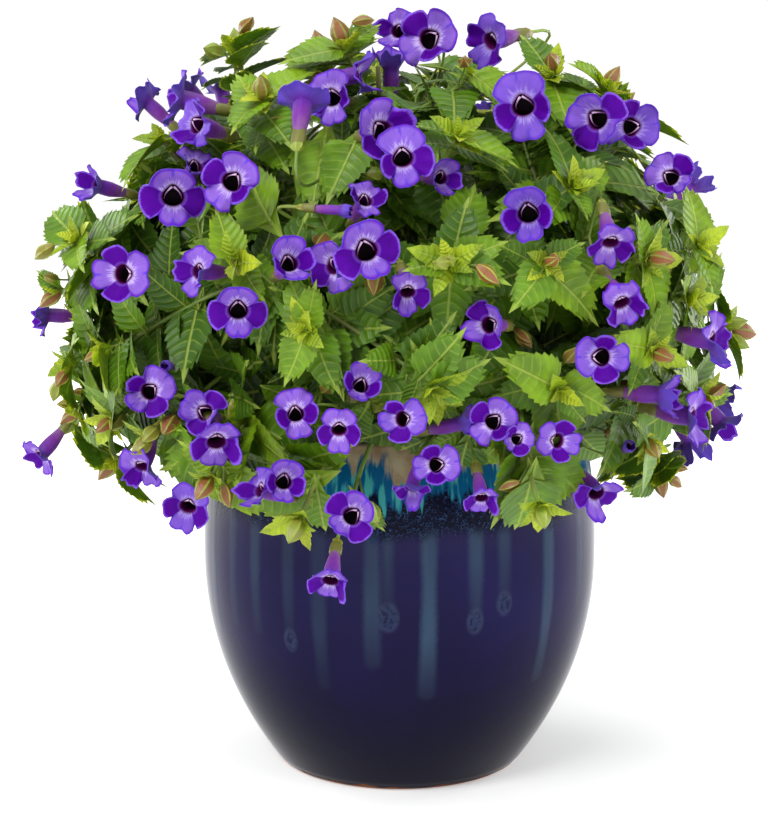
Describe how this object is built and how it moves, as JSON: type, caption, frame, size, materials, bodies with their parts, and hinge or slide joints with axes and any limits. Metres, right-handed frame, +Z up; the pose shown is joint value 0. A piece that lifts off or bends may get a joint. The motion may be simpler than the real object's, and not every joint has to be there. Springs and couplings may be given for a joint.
{
  "type": "potted wishbone flower",
  "caption": "Bushy torenia with toothed leaves and two-tone violet trumpet blooms, planted in a round dark-blue glazed ceramic pot that stands on its flat foot.",
  "frame": {"origin": "centre of the pot's foot, on the surface it stands on", "axes": "+Z up along the pot's axis; -Y is the front, the side the picture was taken from; +X is to the right as seen from the front"},
  "size_m": [0.4511, 0.4453, 0.4699],
  "materials": {
    "glaze": "gloss",
    "soil": "matte",
    "foliage": "satin",
    "petals": "satin"
  },
  "bodies": {
    "root": {"bloom_spray_01": "petals", "bloom_spray_02": "petals", "bloom_spray_03": "petals", "bloom_spray_04": "petals", "bloom_spray_05": "petals", "bloom_spray_06": "petals", "bloom_spray_07": "petals", "bloom_spray_08": "petals", "bloom_spray_09": "petals", "bloom_spray_10": "petals", "bloom_spray_11": "petals", "bloom_spray_12": "petals", "bloom_spray_13": "petals", "bloom_spray_14": "petals", "bloom_spray_15": "petals", "bloom_spray_16": "petals", "bloom_spray_17": "petals", "bloom_spray_18": "petals", "bloom_spray_19": "petals", "bloom_spray_20": "petals", "bloom_spray_21": "petals", "bloom_spray_22": "petals", "bloom_spray_23": "petals", "bloom_spray_24": "petals", "bloom_spray_25": "petals", "bloom_spray_26": "petals", "bloom_spray_27": "petals", "bloom_spray_28": "petals", "bloom_spray_29": "petals", "bloom_spray_30": "petals", "bloom_spray_31": "petals", "bloom_spray_32": "petals", "bloom_spray_33": "petals", "bloom_spray_34": "petals", "bloom_spray_35": "petals", "bloom_spray_36": "petals", "bloom_spray_37": "petals", "bloom_spray_38": "petals", "bloom_spray_39": "petals", "bloom_spray_40": "petals", "bloom_spray_41": "petals", "bloom_spray_42": "petals", "glazed_pot": "glaze", "leafy_stem_01": "foliage", "leafy_stem_02": "foliage", "leafy_stem_03": "foliage", "leafy_stem_04": "foliage", "leafy_stem_05": "foliage", "leafy_stem_06": "foliage", "leafy_stem_07": "foliage", "leafy_stem_08": "foliage", "leafy_stem_09": "foliage", "leafy_stem_10": "foliage", "leafy_stem_11": "foliage", "leafy_stem_12": "foliage", "leafy_stem_13": "foliage", "leafy_stem_14": "foliage", "leafy_stem_15": "foliage", "leafy_stem_16": "foliage", "potting_soil": "soil"}
  },
  "joints": []
}
